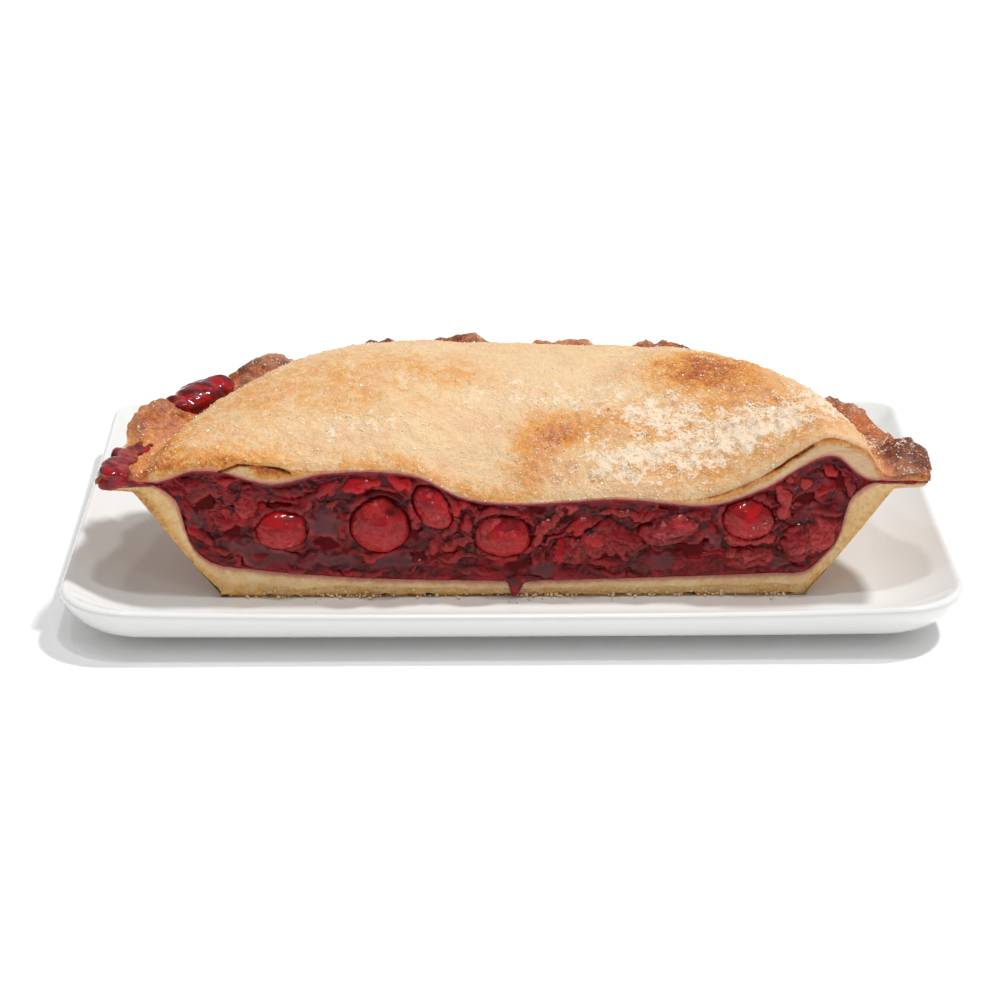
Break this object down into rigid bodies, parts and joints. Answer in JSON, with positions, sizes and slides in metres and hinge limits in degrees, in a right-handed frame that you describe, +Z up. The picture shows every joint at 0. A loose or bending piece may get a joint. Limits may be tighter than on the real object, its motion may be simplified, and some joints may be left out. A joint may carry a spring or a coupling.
{
  "type": "half cherry pie on a plate",
  "caption": "Half of a double-crust cherry pie, its cut face showing whole fruit in a dark red gel, resting on a shallow rectangular white porcelain plate.",
  "frame": {"origin": "centre of the plate's bounding box, on the table that the plate's foot stands on", "axes": "+X along the pie's cut face to the right, +Y from the cut face back through the pie, +Z up"},
  "size_m": [0.2264, 0.149, 0.0546],
  "materials": {
    "porcelain": "white gloss glaze",
    "pale_crust": "matte baked pastry",
    "crust": "matte baked pastry with sugar",
    "cherry_gel": "glossy dark red gel",
    "cherry": "glossy red fruit skin"
  },
  "bodies": {
    "root": {"plate": "porcelain", "bottom_crust": "pale_crust", "filling": "cherry_gel", "top_crust": "crust", "cherry_1": "cherry", "cherry_2": "cherry", "cherry_3": "cherry", "cherry_4": "cherry", "cherry_5": "cherry", "cherry_6": "cherry", "cherry_7": "cherry", "cherry_8": "cherry", "cherry_9": "cherry", "rim_cherry": "cherry"}
  },
  "joints": []
}
